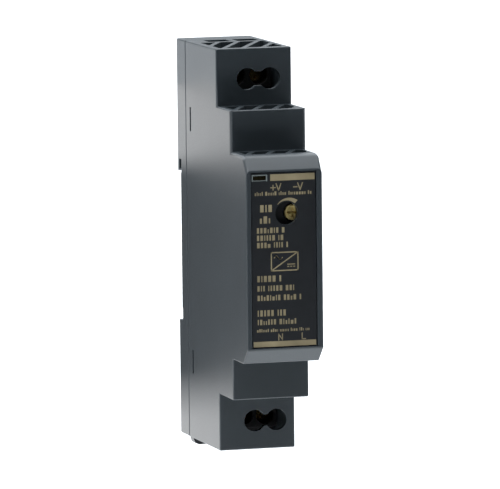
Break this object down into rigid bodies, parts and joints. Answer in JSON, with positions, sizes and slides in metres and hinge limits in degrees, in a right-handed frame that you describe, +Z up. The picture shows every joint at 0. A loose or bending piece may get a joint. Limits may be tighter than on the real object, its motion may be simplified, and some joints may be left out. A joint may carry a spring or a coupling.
{
  "type": "din rail power supply",
  "caption": "Slim stepped power supply for a DIN rail, with vented ledges, screw terminals at both ends, an output trimmer and a sprung rail foot.",
  "frame": {"origin": "centre of the rail seat: the middle of the width, on the rail's centre line, in the plane of the rail's front face", "axes": "+X across the width, +Y into the rail (the back of the part), +Z up along its height"},
  "size_m": [0.0176, 0.0545, 0.0924],
  "materials": {
    "shell_plastic": "satin moulded, dark slate grey",
    "foot_plastic": "satin moulded black",
    "label_film": "matt film with tan printing",
    "window_lens": "clear tinted",
    "brass": "turned",
    "spring_steel": "drawn wire",
    "tinned_copper": "tin plated",
    "terminal_plastic": "moulded black",
    "board_laminate": "glass-epoxy laminate with solder mask",
    "insulation_film": "smooth film",
    "ferrite": "pressed and sintered",
    "winding_tape": "polyester tape",
    "capacitor_sleeve": "shrunk sleeve",
    "blue_ceramic": "dipped",
    "film_capacitor": "moulded box",
    "chip_resin": "moulded resin",
    "heatsink_aluminium": "sheet",
    "fuse_ceramic": "fired",
    "led_resin": "diffused"
  },
  "bodies": {
    "casing": {"front_shell": "shell_plastic", "rear_shell": "shell_plastic", "label_plate": "label_film", "led_window": "window_lens", "foot_spring": "spring_steel", "output_terminal_housing": "terminal_plastic", "input_terminal_housing": "terminal_plastic", "main_board": "board_laminate", "insulation_sheet": "insulation_film", "transformer_core": "ferrite", "transformer_winding": "winding_tape", "bulk_capacitor_1": "capacitor_sleeve", "bulk_capacitor_2": "capacitor_sleeve", "output_capacitor_1": "capacitor_sleeve", "output_capacitor_2": "capacitor_sleeve", "input_fuse": "fuse_ceramic", "varistor": "blue_ceramic", "y_capacitor": "blue_ceramic", "inrush_thermistor": "chip_resin", "x_capacitor": "film_capacitor", "common_mode_choke": "ferrite", "bridge_rectifier": "chip_resin", "switching_transistor": "chip_resin", "heatsink": "heatsink_aluminium", "optocoupler": "chip_resin", "controller_chip": "chip_resin", "output_diode": "chip_resin", "output_inductor": "ferrite", "trimmer_body": "terminal_plastic", "status_led": "led_resin", "contact_bar_negative": "tinned_copper", "contact_bar_positive": "tinned_copper", "contact_bar_line": "tinned_copper", "contact_bar_neutral": "tinned_copper"},
    "rail_foot": {"rail_foot": "foot_plastic"},
    "trimmer_rotor": {"trimmer_rotor": "brass"},
    "terminal_screw_negative": {"terminal_screw_negative": "brass"},
    "clamp_cage_negative": {"clamp_cage_negative": "tinned_copper"},
    "terminal_screw_positive": {"terminal_screw_positive": "brass"},
    "clamp_cage_positive": {"clamp_cage_positive": "tinned_copper"},
    "terminal_screw_line": {"terminal_screw_line": "brass"},
    "clamp_cage_line": {"clamp_cage_line": "tinned_copper"},
    "terminal_screw_neutral": {"terminal_screw_neutral": "brass"},
    "clamp_cage_neutral": {"clamp_cage_neutral": "tinned_copper"}
  },
  "joints": [
    {"name": "rail_foot_slide", "type": "slide", "parent": "casing", "child": "rail_foot", "axis": [0, 0, -1], "range_m": [0, 0.0045], "stiffness_N_per_m": 1500, "springref_m": -0.006, "deforming": ["foot_spring"]},
    {"name": "trimmer_turn", "type": "hinge", "parent": "casing", "child": "trimmer_rotor", "pos_m": [0.00235, -0.0503, 0.0111], "axis": [0, 1, 0], "range_deg": [-115, 115]},
    {"name": "terminal_screw_negative_turn", "type": "hinge", "parent": "casing", "child": "terminal_screw_negative", "pos_m": [0.00373, -0.0172, 0.0389], "axis": [0, 1, 0], "range_deg": [0, 1730]},
    {"name": "clamp_cage_negative_slide", "type": "slide", "parent": "casing", "child": "clamp_cage_negative", "axis": [0, -1, 0], "range_m": [0, 0.0024]},
    {"name": "terminal_screw_positive_turn", "type": "hinge", "parent": "casing", "child": "terminal_screw_positive", "pos_m": [-0.00151, -0.0172, 0.0389], "axis": [0, 1, 0], "range_deg": [0, 1730]},
    {"name": "clamp_cage_positive_slide", "type": "slide", "parent": "casing", "child": "clamp_cage_positive", "axis": [0, -1, 0], "range_m": [0, 0.0024]},
    {"name": "terminal_screw_line_turn", "type": "hinge", "parent": "casing", "child": "terminal_screw_line", "pos_m": [0.00443, -0.0172, -0.03775], "axis": [0, 1, 0], "range_deg": [0, 1730]},
    {"name": "clamp_cage_line_slide", "type": "slide", "parent": "casing", "child": "clamp_cage_line", "axis": [0, -1, 0], "range_m": [0, 0.0024]},
    {"name": "terminal_screw_neutral_turn", "type": "hinge", "parent": "casing", "child": "terminal_screw_neutral", "pos_m": [-0.00058, -0.0172, -0.03775], "axis": [0, 1, 0], "range_deg": [0, 1730]},
    {"name": "clamp_cage_neutral_slide", "type": "slide", "parent": "casing", "child": "clamp_cage_neutral", "axis": [0, -1, 0], "range_m": [0, 0.0024]}
  ],
  "couplings": [
    {"joint": "terminal_screw_negative_turn", "follows": "clamp_cage_negative_slide", "rad_per_m": 12566},
    {"joint": "terminal_screw_positive_turn", "follows": "clamp_cage_positive_slide", "rad_per_m": 12566},
    {"joint": "terminal_screw_line_turn", "follows": "clamp_cage_line_slide", "rad_per_m": 12566},
    {"joint": "terminal_screw_neutral_turn", "follows": "clamp_cage_neutral_slide", "rad_per_m": 12566}
  ]
}
